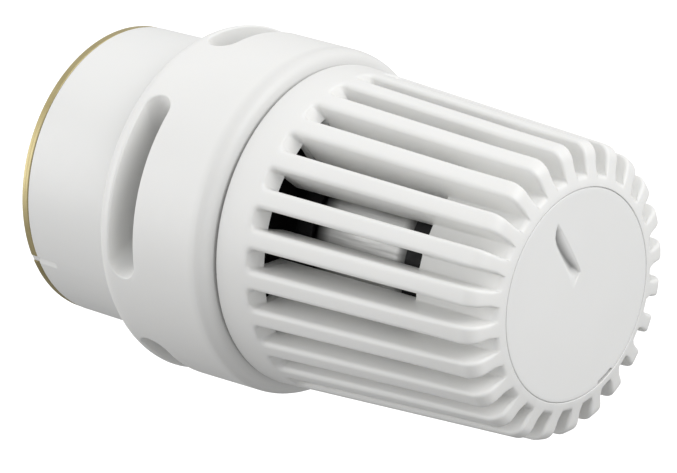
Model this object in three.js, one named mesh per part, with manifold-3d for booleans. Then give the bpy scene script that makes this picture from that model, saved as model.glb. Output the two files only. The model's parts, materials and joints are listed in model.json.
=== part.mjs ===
// Thermostatic radiator valve head, as an assembly of its separate pieces.
// Millimetres. +X runs along the head's axis, from the mouth of the coupling's thread (x = 0) to the nose.
// +Z is up. An angle a is measured about the axis, from +Z towards -Y.
//
// Turned profiles are lists of [x, radius] points that go once round the section.

import * as THREE from 'three';
import { mergeVertices } from 'three/addons/utils/BufferGeometryUtils.js';
import Module from 'manifold-3d';

const wasm = await Module();
wasm.setup();

// ---------------------------------------------------------------- driving dimensions

const OUTER_FACETS = 48; // sides of the large turned skins
const INNER_FACETS = 24; // sides of the pieces inside
const SMALL_FACETS = 16; // sides of pins and screws
const PIN_FACETS = 10;

const COUPLING_THREAD_R = 14.19; // crest radius of an M30 x 1.5 female thread
const COUPLING_PITCH = 1.5;
const SEAT_X = 10; // where the valve's neck stops against the core
const NUT_R = 17.5;
const NUT_FRONT = 15;
const NUT_RIM = { r: 20.5, rear: -0.42, front: 0.7 }; // the thin brass rim seen behind the sleeve
const NUT_BORE_R = 12.3; // the nut's shoulder, running on the core's neck

const COVER = { rear: 0.8, front: 18.2, rearR: 20.56, frontR: 20.85, boreR: 18.6 };
const RIM_NOTCH = { a: 115, width: 1.05, front: 4.3, sleeveFloorR: 20.15, rimFloorR: 19.85 };

const NECK_R = 12; // outside of the core's neck
const SOCKET_R = 9.2; // bore that takes the valve's spindle and gland

const BASE = {
  rear: 16.45, rimR: 22.35, r: 24.5, front: 37.45, frontR: 22.3, boreR: 21.3,
  webRear: 18.9, webFront: 26.2, hubFront: 33, hubR: 14.6, hubBoreR: 12.1, mouthR: 21.25,
};
const SLOT = { count: 4, firstA: 70.5, spanDeg: 63, rear: 19.75, front: 24.3, floorR: 18.6 };

const WHEEL = {
  rear: 37.9, rearR: 22.63, shoulderR: 20.66, nose: 82.86,
  ringBoreR: 19.1, ledgeFront: 40.3, ringInnerR: 19.9,
};
const RIB_NOSE = [ // the ribs' rounded front ends
  [79.6, 20.66], [80.34, 20.51], [81, 20.13], [81.5, 19.57], [81.8, 18.88], [82.47, 16.4],
];
const RIB = { count: 24, firstA: 2.75, grooveRear: 43.3, windowFront: 68.5, edge: 0.7 };
const GROOVE_RAMP = { front: 44.4, outerR: 22.1 }; // the sloping rear end of each groove
const CUP = {
  r: 16.4, boreR: 14, webRear: 72, webFront: 73.2, webBoreR: 9.5,
  mouthR: 14.88, easeX: 81.7, easeSlope: 0.75, step: 80.6,
};
const FIN_INNER_R = 16; // inner edge of the ribs where the wheel is open between them

const CAP = { r: 14.76, rear: 80.7, edge: 82.85, crown: 83.25, skirtR: 13.85, skirtRear: 79.6 };
const POINTER = { a: 20.2, tipR: 11.8, tailR: 1.5, shoulderR: 2.55, halfWidth: 1.9, depth: 0.65 };
const PRY_SLOT = { fromA: 198, toA: 212, innerR: 14.35 };

const SCREW = { starts: 3, lead: 6, rootR: 7.1, crestR: 8, clearance: 0.25, stepsPerTurn: 16 };
const STEM = { rear: 68, front: 78.8, boreR: 5.6, boreFront: 77.3 };
const DRIVE_NUT = { rear: 73.4, front: 78.4, r: 13.85 };
const DRIVE_CLIP = { rear: 78.55, front: 79.35, innerR: 11.8, r: 14.5, gapDeg: 40 };

const CARRIER = { rear: 44.7, front: 68, r: 14.6, boreR: 13.8, pocketFront: 66.3 };
const CARRIER_WINDOW = { rear: 47.6, front: 64.3, barDeg: 26, barA: 155.7 };
const RETAINER = { rear: 37.4, front: 47.1, slideR: 13.2, plugR: 13.7, boreR: 6.2 };
const KEY = { count: 3, firstA: 5.7, width: 4, r: 14.6, rear: 38, front: 41.5, play: 0.15 };

const CAGE = {
  rear: 26.4, r: 18.8, shoulderR: 20.8, shoulderRear: 35.3, shoulderFront: 37.8, journalR: 19,
  front: 42, socketR: 14.85, guideR: 13.3,
};
const FRICTION_GROOVE = { rear: 38.35, front: 39.65, floorR: 17.75, ringR: 0.58, meanR: 18.4 };
const RETAINING_RING = { rear: 40.4, front: 41.2, grooveR: 18, r: 19.75, gapDeg: 24 };
const CAGE_SCREW = { count: 3, firstA: 35.7, pitchR: 16.9, headR: 1.45, shankR: 1, headRear: 17.5, tip: 33 };

const LUG = { a: 245.7, halfDeg: 4, innerR: 15.4, rear: 42.3 };
const STOP_PIN = { r: 0.9, pitchR: 16.2, rear: 38.9, front: 43, offsetDeg: 158 };

const SENSOR = { rear: 47.35, front: 64.4, r: 13.7, wall: 0.6 };
const SENSOR_PLATE = { front: 48.9, r: 13 };
const BUSH = { rear: 41.2, flangeRear: 46.1, flangeFront: 47.2, front: 49.4, r: 5, flangeR: 6, boreR: 3.1 };
const BELLOWS = { rear: 49.6, front: 60.6, crestR: 10.4, rootR: 8.2, folds: 5, wall: 0.35 };
const PISTON = { rear: 37.9, front: 58.4, r: 3, headR: 6.6, headRear: 56.9 };
const PUSHER = { tip: 23.2, headFront: 25, headR: 6.5, r: 4, front: 37.8 };
const BUTTON = { tip: 22.4, headFront: 23.1, headR: 4.6, shankR: 2.9, front: 24.3 };

const SPRING = { rear: 65.7, front: 77.1, meanR: 4.45, wireR: 0.5, turns: 6, halfSides: 3, stepsPerTurn: 12 };
const SPRING_CUP = { rear: 64.6, plateFront: 65.5, plateR: 8.2, pegR: 3.4, pegFront: 68.6 };

const CORE_CLIP = { rear: 33.15, front: 34, grooveR: 11.2, r: 13.5, gapDeg: 50 };
const SPACER = { rear: 15.25, front: 18.8, r: 15.2 };
const COVER_CLIP = { rear: 13.2, front: 14, innerR: 17, r: 18.4, gapDeg: 40 };

// ---------------------------------------------------------------- materials

function plastic(colour, roughness) {
  return new THREE.MeshStandardMaterial({ color: colour, roughness, metalness: 0 });
}

function metal(colour, roughness) {
  return new THREE.MeshStandardMaterial({ color: colour, roughness, metalness: 1 });
}

const WHITE = '#e6e6e3';
const BLACK = '#17181a';
const STEEL = '#b4b7ba';
const BRASS = '#bf9a52';

// ---------------------------------------------------------------- solids

const RAD = Math.PI / 180;

// The point at station x, radius r and angle a.
function polar(x, r, a) {
  return [x, -r * Math.sin(a * RAD), r * Math.cos(a * RAD)];
}

// A closed geometry as a solid whose faces look outwards.
function solidOf(geometry) {
  geometry.deleteAttribute('normal');
  geometry.deleteAttribute('uv');
  const merged = mergeVertices(geometry, 1e-5);
  const corners = merged.getIndex().array;
  const places = merged.getAttribute('position').array;
  const triangles = [];
  let volume = 0;
  const [p, q, s] = [new THREE.Vector3(), new THREE.Vector3(), new THREE.Vector3()];
  for (let i = 0; i < corners.length; i += 3) {
    const [a, b, c] = [corners[i], corners[i + 1], corners[i + 2]];
    if (a === b || b === c || a === c) {
      continue;
    }
    triangles.push([a, b, c]);
    volume += p.fromArray(places, 3 * a).dot(q.fromArray(places, 3 * b).cross(s.fromArray(places, 3 * c)));
  }
  if (volume < 0) {
    triangles.forEach((triangle) => triangle.reverse());
  }
  const mesh = new wasm.Mesh({
    numProp: 3,
    vertProperties: new Float32Array(places),
    triVerts: new Uint32Array(triangles.flat()),
  });
  return new wasm.Manifold(mesh);
}

// A solid of revolution about X, with one of its edges at angle startA.
function turned(profile, facets, startA = 0) {
  const points = profile.map(([x, r]) => new THREE.Vector2(r, x));
  const open = profile[0][1] === 0 && profile[profile.length - 1][1] === 0;
  if (!open) {
    points.push(points[0].clone());
  }
  const lathe = new THREE.LatheGeometry(points, facets, startA * RAD);
  lathe.rotateZ(-Math.PI / 2);
  return solidOf(lathe);
}

function tube(rear, front, innerR, outerR, facets) {
  return turned([[rear, innerR], [rear, outerR], [front, outerR], [front, innerR]], facets);
}

function disc(rear, front, r, facets) {
  return turned([[rear, 0], [rear, r], [front, r], [front, 0]], facets);
}

// Joins equal-length rings of points, one after another, and closes both ends.
// endOutline is the first ring drawn flat, for filling the ends.
function loft(rings, endOutline) {
  const count = endOutline.length;
  const corners = [];
  for (let ring = 0; ring + 1 < rings.length; ring += 1) {
    for (let i = 0; i < count; i += 1) {
      const a = ring * count + i;
      const b = ring * count + (i + 1) % count;
      corners.push(a, b, b + count, a, b + count, a + count);
    }
  }
  const flat = endOutline.map(([u, v]) => new THREE.Vector2(u, v));
  const turnsLeft = !THREE.ShapeUtils.isClockWise(flat);
  const last = (rings.length - 1) * count;
  for (const [a, b, c] of THREE.ShapeUtils.triangulateShape(flat, [])) {
    const fills = turnsLeft
      ? [a, c, b, last + a, last + b, last + c]
      : [a, b, c, last + a, last + c, last + b];
    corners.push(...fills);
  }
  const sidesTurn = turnsLeft ? corners : corners.map((corner, i) => corners[i - (i % 3) + 2 - (i % 3)]);
  const geometry = new THREE.BufferGeometry();
  geometry.setAttribute('position', new THREE.Float32BufferAttribute(rings.flat(2), 3));
  geometry.setIndex(sidesTurn);
  return solidOf(geometry);
}

// The slice of space between two angles less than 180 degrees apart.
function sector(rear, front, r, fromA, toA) {
  const steps = 6;
  const outline = [[0, 0]];
  for (let i = 0; i <= steps; i += 1) {
    const a = fromA + (toA - fromA) * i / steps;
    outline.push([-r * Math.sin(a * RAD), r * Math.cos(a * RAD)]);
  }
  return loft([rear, front].map((x) => outline.map(([y, z]) => [x, y, z])), outline);
}

// A round bar along X, standing at radius pitchR and angle a.
function bar(rear, front, r, pitchR, a, facets) {
  const [, y, z] = polar(0, pitchR, a);
  return disc(rear, front, r, facets).translate(0, y, z);
}

function union(solids) {
  return solids.reduce((whole, solid) => whole.add(solid));
}

// Copies of a solid, turned evenly about X.
function around(solid, count) {
  return Array.from({ length: count }, (_, i) => solid.rotate(360 * i / count, 0, 0));
}

// A flat retaining ring with an opening.
function splitRing({ rear, front, innerR, r, gapDeg }, gapA, facets) {
  const ring = tube(rear, front, innerR, r, facets);
  return ring.subtract(sector(rear - 1, front + 1, 40, gapA - gapDeg / 2, gapA + gapDeg / 2));
}

// ---------------------------------------------------------------- coupling nut and its sleeve

function couplingNut() {
  const crest = COUPLING_THREAD_R;
  const root = crest + 0.8;
  const profile = [
    [NUT_RIM.rear, 15.8], [NUT_RIM.rear, NUT_RIM.r - 0.2], [NUT_RIM.rear + 0.2, NUT_RIM.r],
    [NUT_RIM.front, NUT_RIM.r],
    [NUT_RIM.front, NUT_R], [COVER_CLIP.rear - 0.1, NUT_R], [COVER_CLIP.rear - 0.1, COVER_CLIP.innerR - 0.1],
    [COVER_CLIP.front + 0.1, COVER_CLIP.innerR - 0.1], [COVER_CLIP.front + 0.1, NUT_R],
    [NUT_FRONT - 0.4, NUT_R], [NUT_FRONT, NUT_R - 0.4], [NUT_FRONT, NUT_BORE_R],
    [SEAT_X + 2.2, NUT_BORE_R], [SEAT_X + 2.2, root],
  ];
  const threadFront = 9;
  for (let x = threadFront; x > COUPLING_PITCH; x -= COUPLING_PITCH) {
    profile.push([x, root], [x - COUPLING_PITCH / 2, crest]);
  }
  return turned(profile, INNER_FACETS).subtract(rimNotch(RIM_NOTCH.rimFloorR));
}

// The narrow notch across the sleeve's rear edge and the nut's rim.
function rimNotch(floorR) {
  const { a, width, front } = RIM_NOTCH;
  const length = front + 2;
  return solidOf(new THREE.BoxGeometry(length, width, 4))
    .translate(front - length / 2, 0, floorR + 2)
    .rotate(a, 0, 0);
}

function nutCover() {
  const { rear, front, rearR, frontR, boreR } = COVER;
  const flankR = boreR + 0.6;
  const body = turned([
    [rear, NUT_R + 0.1], [rear, rearR - 0.15], [rear + 0.15, rearR], [front - 0.3, frontR],
    [front, frontR - 0.3], [front, flankR], [COVER_CLIP.front + 0.2, boreR], [COVER_CLIP.rear - 0.2, boreR],
    [COVER_CLIP.rear - 0.2, NUT_R + 0.1],
  ], OUTER_FACETS);
  return body.subtract(rimNotch(RIM_NOTCH.sleeveFloorR));
}

// ---------------------------------------------------------------- fixed base

function baseCore() {
  return turned([
    [SEAT_X, SOCKET_R + 0.4], [SEAT_X, 13.6], [SEAT_X + 0.3, 13.9], [SEAT_X + 2, 13.9], [SEAT_X + 2, NECK_R],
    [CORE_CLIP.rear - 0.05, NECK_R], [CORE_CLIP.rear - 0.05, CORE_CLIP.grooveR - 0.1],
    [CORE_CLIP.front + 0.05, CORE_CLIP.grooveR - 0.1], [CORE_CLIP.front + 0.05, NECK_R],
    [34.6, NECK_R], [34.6, SOCKET_R], [32, SOCKET_R], [32, PUSHER.r + 0.1], [29, PUSHER.r + 0.1],
    [29, SOCKET_R], [SEAT_X + 0.4, SOCKET_R],
  ], INNER_FACETS);
}

// One slot in the base's skin: a ring sector with round ends.
function slotCutter(centreA) {
  const width = SLOT.front - SLOT.rear;
  const endDeg = width / 2 / BASE.r / RAD;
  const half = SLOT.spanDeg / 2 - endDeg;
  const middle = (SLOT.front + SLOT.rear) / 2;
  const ring = tube(SLOT.rear, SLOT.front, SLOT.floorR, BASE.r + 2, OUTER_FACETS);
  const straight = ring.intersect(sector(SLOT.rear - 1, SLOT.front + 1, 40, centreA - half, centreA + half));
  const height = BASE.r + 2 - SLOT.floorR;
  const ends = [-half, half].map((offset) => {
    const cylinder = new THREE.CylinderGeometry(width / 2, width / 2, height, PIN_FACETS);
    cylinder.rotateX(Math.PI / 2);
    return solidOf(cylinder).translate(middle, 0, SLOT.floorR + height / 2).rotate(centreA + offset, 0, 0);
  });
  return union([straight, ...ends]);
}

function baseShell() {
  const { rear, rimR, r, front, frontR, boreR, webRear, webFront, hubFront, hubR, hubBoreR, mouthR } = BASE;
  const body = turned([
    [rear, mouthR], [rear, rimR - 0.25], [rear + 0.15, rimR], [rear + 0.75, rimR + 0.85],
    [rear + 1.6, rimR + 1.55], [rear + 2.5, rimR + 1.98], [rear + 3.4, r], [front - 1.3, r],
    [front - 1, r - 0.13], [front - 0.8, r - 0.5], [front, frontR], [front, boreR], [webFront, boreR],
    [webFront, hubR], [hubFront, hubR], [hubFront, hubBoreR], [webRear, hubBoreR], [webRear, mouthR],
  ], OUTER_FACETS);
  const slots = Array.from({ length: SLOT.count }, (_, i) => slotCutter(SLOT.firstA + 360 * i / SLOT.count));
  const holes = screwAngles().map((a) => {
    return bar(webRear - 1, webFront + 1, CAGE_SCREW.shankR + 0.1, CAGE_SCREW.pitchR, a, PIN_FACETS);
  });
  return body.subtract(union([...slots, ...holes]));
}

function screwAngles() {
  return Array.from({ length: CAGE_SCREW.count }, (_, i) => CAGE_SCREW.firstA + 360 * i / CAGE_SCREW.count);
}

function cageScrew(a) {
  const { headR, shankR, headRear, tip, pitchR } = CAGE_SCREW;
  const head = bar(headRear, BASE.webRear - 0.05, headR, pitchR, a, PIN_FACETS);
  const shank = bar(headRear + 0.5, tip, shankR, pitchR, a, PIN_FACETS);
  const [, y, z] = polar(0, pitchR, a);
  const recess = solidOf(new THREE.BoxGeometry(1, 0.45, 1.9)).translate(headRear, y, z);
  return head.add(shank).subtract(recess);
}

function guideCage() {
  const { rear, r, shoulderR, shoulderRear, shoulderFront, journalR, front, socketR, guideR } = CAGE;
  const body = turned([
    [rear, socketR], [rear, r], [shoulderRear, r], [shoulderRear, shoulderR], [shoulderFront, shoulderR],
    [shoulderFront, journalR], [FRICTION_GROOVE.rear, journalR],
    [FRICTION_GROOVE.rear, FRICTION_GROOVE.floorR],
    [FRICTION_GROOVE.front, FRICTION_GROOVE.floorR], [FRICTION_GROOVE.front, journalR],
    [RETAINING_RING.rear - 0.05, journalR], [RETAINING_RING.rear - 0.05, RETAINING_RING.grooveR],
    [RETAINING_RING.front + 0.1, RETAINING_RING.grooveR], [RETAINING_RING.front + 0.1, journalR],
    [front, journalR], [front, guideR], [shoulderRear, guideR], [shoulderRear, socketR],
  ], INNER_FACETS);
  const keyways = around(
    solidOf(new THREE.BoxGeometry(12, KEY.width + 2 * KEY.play, 4))
      .translate(shoulderRear + 5, 0, KEY.r + KEY.play - 2)
      .rotate(KEY.firstA, 0, 0),
    KEY.count,
  );
  const pilots = screwAngles().map((a) => {
    return bar(rear - 1, CAGE_SCREW.tip + 0.3, CAGE_SCREW.shankR + 0.05, CAGE_SCREW.pitchR, a, PIN_FACETS);
  });
  const pinHoles = stopPinAngles().map((a) => {
    return bar(STOP_PIN.rear - 0.1, front + 1, STOP_PIN.r + 0.05, STOP_PIN.pitchR, a, PIN_FACETS);
  });
  return body.subtract(union([...keyways, ...pilots, ...pinHoles]));
}

function stopPinAngles() {
  return [LUG.a - STOP_PIN.offsetDeg, LUG.a + STOP_PIN.offsetDeg];
}

function frictionRing() {
  const torus = new THREE.TorusGeometry(FRICTION_GROOVE.meanR, FRICTION_GROOVE.ringR, 6, INNER_FACETS);
  torus.rotateY(Math.PI / 2);
  return solidOf(torus).translate((FRICTION_GROOVE.rear + FRICTION_GROOVE.front) / 2, 0, 0);
}

// ---------------------------------------------------------------- handwheel

// Outer radius of the wheel at station x: a slow taper, then the nose's rounding.
function wheelRadius(x) {
  const { rear, rearR } = WHEEL;
  const outline = [[rear, rearR], ...RIB_NOSE];
  const next = outline.findIndex(([station]) => station > x);
  if (next < 0) {
    return outline[outline.length - 1][1];
  }
  const [[x0, r0], [x1, r1]] = outline.slice(next - 1, next + 1);
  return r0 + (r1 - r0) * (x - x0) / (x1 - x0);
}

// Bottom of a groove at station x: level, then easing down into the nose's face.
function grooveFloor(x) {
  return CUP.r - Math.max(0, x - CUP.easeX) * CUP.easeSlope;
}

// One groove between two ribs. Its rear end has rounded corners, and the ribs' edges are eased.
function grooveCutter(front) {
  const { grooveRear, edge, count } = RIB;
  const halfA = 360 / count / 4;
  const corner = 0.9;
  const easedA = edge / WHEEL.shoulderR / RAD;
  const stations = [0, 0.25, corner].map((d) => {
    const short = (corner - Math.sqrt(corner ** 2 - (corner - d) ** 2)) / WHEEL.shoulderR / RAD;
    return [grooveRear + d, halfA - short];
  });
  for (const x of [...RIB_NOSE.map(([station]) => station), front]) {
    stations.push([x, halfA]);
  }
  const rings = stations.map(([x, half]) => {
    const outR = wheelRadius(x);
    const side = [
      [grooveFloor(x), half], [outR - edge, half],
      [outR + 0.02, half + easedA], [WHEEL.rearR + 2, half + easedA],
    ];
    const mirrored = side.map(([r, a]) => [r, -a]).reverse();
    return [...side, ...mirrored].map(([r, a]) => polar(x, r, a));
  });
  return loft(rings, rings[0].map(([, y, z]) => [y, z]));
}

function windowCutter() {
  const halfA = 360 / RIB.count / 4;
  const rings = [RIB.grooveRear + 0.05, RIB.windowFront].map((x) => {
    return [[13, -halfA], [13, halfA], [18, halfA], [18, -halfA]].map(([r, a]) => polar(x, r, a));
  });
  return loft(rings, rings[0].map(([, y, z]) => [y, z]));
}

function handwheel() {
  const { rear, rearR, nose, ringBoreR, ledgeFront, ringInnerR } = WHEEL;
  const grooveA = RIB.firstA + 360 / RIB.count / 2;
  const body = turned([
    [rear, ringBoreR], [rear, rearR - 0.25], [rear + 0.2, rearR], ...RIB_NOSE,
    [nose, CUP.mouthR + 0.12], [nose - 0.12, CUP.mouthR], [CUP.step, CUP.mouthR],
    [CUP.step, CUP.boreR], [DRIVE_CLIP.front + 0.1, CUP.boreR], [DRIVE_CLIP.front + 0.1, DRIVE_CLIP.r + 0.1],
    [DRIVE_CLIP.rear - 0.1, DRIVE_CLIP.r + 0.1], [DRIVE_CLIP.rear - 0.1, CUP.boreR],
    [CUP.webFront, CUP.boreR],
    [CUP.webFront, CUP.webBoreR], [CUP.webRear, CUP.webBoreR], [CUP.webRear, CUP.mouthR],
    [RIB.windowFront, CUP.mouthR], [RIB.windowFront, FIN_INNER_R], [RIB.grooveRear, FIN_INNER_R],
    [RIB.grooveRear, ringInnerR], [ledgeFront, ringInnerR], [ledgeFront, ringBoreR],
  ], OUTER_FACETS, grooveA);
  const groove = grooveCutter(nose + 0.6).add(windowCutter()).rotate(grooveA, 0, 0);
  const ramp = turned([
    [RIB.grooveRear - 0.3, ringInnerR], [RIB.grooveRear - 0.3, GROOVE_RAMP.outerR],
    [RIB.grooveRear, GROOVE_RAMP.outerR], [GROOVE_RAMP.front, ringInnerR],
  ], OUTER_FACETS, grooveA);
  const lug = tube(LUG.rear, RIB.grooveRear + 0.5, LUG.innerR, ringInnerR + 0.5, OUTER_FACETS)
    .intersect(sector(LUG.rear - 1, RIB.grooveRear + 1, 40, LUG.a - LUG.halfDeg, LUG.a + LUG.halfDeg));
  return body.subtract(union(around(groove, RIB.count))).add(ramp).add(lug);
}

// The pointer is a narrow dart sunk in the cap, aimed outwards.
function pointerCutter() {
  const { tipR, tailR, shoulderR, halfWidth, depth } = POINTER;
  const dart = new THREE.Shape();
  dart.moveTo(0, tipR);
  dart.quadraticCurveTo(-halfWidth, tipR - 3, -halfWidth * 0.45, shoulderR + 1.6);
  dart.lineTo(0, tailR);
  dart.lineTo(halfWidth, shoulderR);
  dart.closePath();
  const block = new THREE.ExtrudeGeometry(dart, { depth: 3, bevelEnabled: false, curveSegments: 4 });
  // The shape's own X and Y become the row's Y and Z, and its depth runs along X.
  block.applyMatrix4(new THREE.Matrix4().makeBasis(
    new THREE.Vector3(0, 1, 0), new THREE.Vector3(0, 0, 1), new THREE.Vector3(1, 0, 0),
  ));
  return solidOf(block).translate(CAP.crown - depth, 0, 0).rotate(POINTER.a, 0, 0);
}

function endCap() {
  const { r, rear, edge, crown, skirtR, skirtRear } = CAP;
  const rise = crown - edge;
  const dome = [0.97, 0.75, 0.4].map((part) => [edge + rise * (1 - part ** 2), r * part]);
  const body = turned([
    [rear + 0.9, 0], [rear + 0.9, skirtR - 1], [skirtRear, skirtR - 1], [skirtRear, skirtR], [rear, skirtR],
    [rear, r], [edge - 0.3, r], [edge - 0.05, r - 0.2], ...dome, [crown, 0],
  ], OUTER_FACETS);
  const slot = tube(rear - 0.5, crown + 1, PRY_SLOT.innerR, r + 1, OUTER_FACETS)
    .intersect(sector(rear - 1, crown + 2, 40, PRY_SLOT.fromA, PRY_SLOT.toA));
  return body.subtract(pointerCutter()).subtract(slot);
}

// ---------------------------------------------------------------- screw drive

// Root and crest of one start, as a share of the start's own angle.
const SCREW_LOBE = [
  [0.06, SCREW.rootR], [0.25, SCREW.rootR], [0.44, SCREW.rootR],
  [0.58, SCREW.crestR], [0.75, SCREW.crestR], [0.92, SCREW.crestR],
];

// A multi-start screw as one section that twists by a full turn in each lead.
function screwSolid(rear, front, growth) {
  const { starts, lead, stepsPerTurn } = SCREW;
  const lobe = 360 / starts;
  const outline = [];
  for (let start = 0; start < starts; start += 1) {
    for (const [part, r] of SCREW_LOBE) {
      outline.push([r + growth, (start + part) * lobe]);
    }
  }
  const steps = Math.ceil((front - rear) / lead * stepsPerTurn);
  const rings = [];
  for (let i = 0; i <= steps; i += 1) {
    const x = rear + (front - rear) * i / steps;
    rings.push(outline.map(([r, a]) => polar(x, r, a - 360 * x / lead)));
  }
  return loft(rings, rings[0].map(([, y, z]) => [y, z]));
}

function driveNut() {
  const { rear, front, r } = DRIVE_NUT;
  return disc(rear, front, r, INNER_FACETS).subtract(screwSolid(rear - 0.25, front + 0.25, SCREW.clearance));
}

// ---------------------------------------------------------------- carrier and sensor

function sensorCarrier() {
  const { rear, front, r, boreR, pocketFront } = CARRIER;
  const shell = turned([
    [rear, boreR], [rear, r - 0.3], [rear + 0.3, r], [front - 0.3, r], [front, r - 0.3],
    [front, STEM.boreR], [pocketFront, STEM.boreR], [pocketFront, boreR],
  ], INNER_FACETS);
  const open = 180 - CARRIER_WINDOW.barDeg;
  const ring = tube(CARRIER_WINDOW.rear, CARRIER_WINDOW.front, boreR - 1, r + 1, INNER_FACETS);
  const windows = [90, 270].map((turn) => {
    const a = CARRIER_WINDOW.barA + turn;
    const span = sector(CARRIER_WINDOW.rear - 1, CARRIER_WINDOW.front + 1, 40, a - open / 2, a + open / 2);
    return ring.intersect(span);
  });
  const stem = screwSolid(STEM.rear - 0.5, STEM.front, 0)
    .subtract(disc(STEM.rear - 1, STEM.boreFront, STEM.boreR, INNER_FACETS));
  return shell.subtract(union(windows)).add(stem);
}

function sensorRetainer() {
  const { rear, front, slideR, plugR, boreR } = RETAINER;
  const body = turned([
    [rear, boreR], [rear, slideR], [CARRIER.rear - 0.1, slideR], [CARRIER.rear + 0.05, plugR], [front, plugR],
    [front, 11.5], [BUSH.flangeRear - 0.1, 11.5], [BUSH.flangeRear - 0.1, boreR],
  ], INNER_FACETS);
  const keys = around(
    solidOf(new THREE.BoxGeometry(KEY.front - KEY.rear, KEY.width, 3))
      .translate((KEY.front + KEY.rear) / 2, 0, KEY.r - 1.5)
      .rotate(KEY.firstA, 0, 0),
    KEY.count,
  );
  return union([body, ...keys]);
}

function sensorCan() {
  const { rear, front, r, wall } = SENSOR;
  return turned([
    [rear, r - wall], [rear, r], [front - 0.9, r], [front - 0.26, r - 0.26], [front, r - 0.9],
    [front, 5], [front - 0.5, 4.4], [front - 0.5, 0], [front - 1.1, 0], [front - 1.1, 4.6],
    [front - wall, r - wall - 0.9], [front - wall - 0.6, r - wall],
  ], INNER_FACETS);
}

function sensorPlate() {
  const { front, r } = SENSOR_PLATE;
  return turned([
    [SENSOR.rear, BUSH.r + 0.05], [SENSOR.rear, r], [front, r], [front, BUSH.r + 0.05],
  ], INNER_FACETS);
}

function guideBush() {
  const { rear, flangeRear, flangeFront, front, r, flangeR, boreR } = BUSH;
  return turned([
    [rear, boreR], [rear, r], [flangeRear, r], [flangeRear, flangeR], [flangeFront, flangeR],
    [flangeFront, r],
    [front, r], [front, boreR],
  ], SMALL_FACETS);
}

// A folded metal bellows, closed towards the nose and open where the plate holds it.
function sensorBellows() {
  const { rear, front, crestR, rootR, folds, wall } = BELLOWS;
  const foldedFront = front - 0.8;
  const step = (foldedFront - rear) / (2 * folds);
  const outside = [];
  for (let i = 0; i <= 2 * folds; i += 1) {
    outside.push([rear + i * step, i % 2 === 0 ? rootR : crestR]);
  }
  const inside = outside.map(([x, r]) => [x, r - wall - 0.25]).reverse();
  return turned([
    ...inside.slice(-1), ...outside, [front, rootR], [front, 0], [front - 0.5, 0],
    [front - 0.5, rootR - wall - 0.25], ...inside.slice(0, -1),
  ].filter((point, i, all) => i === 0 || point !== all[i - 1]), SMALL_FACETS);
}

function sensorPiston() {
  const { rear, front, r, headR, headRear } = PISTON;
  return turned([
    [rear, 0], [rear, r], [headRear, r], [headRear, headR], [front, headR], [front, 0],
  ], SMALL_FACETS);
}

function pressurePin() {
  const { tip, headFront, headR, r, front } = PUSHER;
  return turned([
    [BUTTON.front + 0.1, 0], [BUTTON.front + 0.1, BUTTON.shankR + 0.1], [tip, BUTTON.shankR + 0.1],
    [tip, headR - 0.4], [tip + 0.4, headR], [headFront, headR], [headFront, r], [front, r], [front, 0],
  ], SMALL_FACETS);
}

function tappetButton() {
  const { tip, headFront, headR, shankR, front } = BUTTON;
  return turned([
    [tip, 0], [tip, headR - 0.3], [tip + 0.3, headR], [headFront, headR], [headFront, shankR],
    [front, shankR], [front, 0],
  ], SMALL_FACETS);
}

// ---------------------------------------------------------------- safety spring

class SpringLine extends THREE.Curve {
  getPoint(t, target = new THREE.Vector3()) {
    const { rear, front, meanR, wireR, turns } = SPRING;
    const a = 360 * turns * t;
    const x = THREE.MathUtils.lerp(rear + wireR, front - wireR, t);
    return target.fromArray(polar(x, meanR, a));
  }
}

function safetySpring() {
  const section = new THREE.Shape();
  section.absarc(0, 0, SPRING.wireR, 0, 2 * Math.PI);
  const wire = new THREE.ExtrudeGeometry(section, {
    steps: Math.round(SPRING.turns * SPRING.stepsPerTurn),
    curveSegments: SPRING.halfSides,
    extrudePath: new SpringLine(),
  });
  return solidOf(wire);
}

function springCup() {
  const { rear, plateFront, plateR, pegR, pegFront } = SPRING_CUP;
  return turned([
    [rear, 0], [rear, plateR], [plateFront, plateR], [plateFront, pegR], [pegFront - 0.6, pegR],
    [pegFront, pegR - 0.6], [pegFront, 0],
  ], SMALL_FACETS);
}

// ---------------------------------------------------------------- assembly

const head = new THREE.Group();
head.name = 'thermostatic_radiator_valve';

function addPiece(parent, name, solid, material) {
  const { numProp, vertProperties, triVerts } = solid.getMesh();
  const geometry = new THREE.BufferGeometry();
  geometry.setAttribute('position', new THREE.BufferAttribute(new Float32Array(vertProperties), numProp));
  geometry.setIndex(new THREE.BufferAttribute(new Uint32Array(triVerts), 1));
  geometry.computeVertexNormals();
  const mesh = new THREE.Mesh(geometry, material);
  mesh.name = name;
  parent.add(mesh);
}

function addGroup(name) {
  const group = new THREE.Group();
  group.name = name;
  head.add(group);
  return group;
}

const fixedBase = addGroup('fixed_base');
addPiece(fixedBase, 'base_shell', baseShell(), plastic(WHITE, 0.42));
addPiece(fixedBase, 'base_core', baseCore(), metal(STEEL, 0.4));
addPiece(fixedBase, 'spacer_ring', tube(SPACER.rear, SPACER.front, NECK_R + 0.1, SPACER.r, INNER_FACETS),
  plastic(BLACK, 0.6));
addPiece(fixedBase, 'core_clip', splitRing({ ...CORE_CLIP, innerR: CORE_CLIP.grooveR }, 180, INNER_FACETS),
  metal(STEEL, 0.35));
addPiece(fixedBase, 'guide_cage', guideCage(), plastic(BLACK, 0.5));
screwAngles().forEach((a, i) => {
  addPiece(fixedBase, `cage_screw_${i + 1}`, cageScrew(a), metal(STEEL, 0.3));
});
addPiece(fixedBase, 'friction_ring', frictionRing(), plastic('#101010', 0.8));
addPiece(fixedBase, 'wheel_retaining_ring',
  splitRing({ ...RETAINING_RING, innerR: RETAINING_RING.grooveR + 0.1 }, 180, INNER_FACETS), metal(STEEL, 0.35));
const [lowA, highA] = stopPinAngles();
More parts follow.
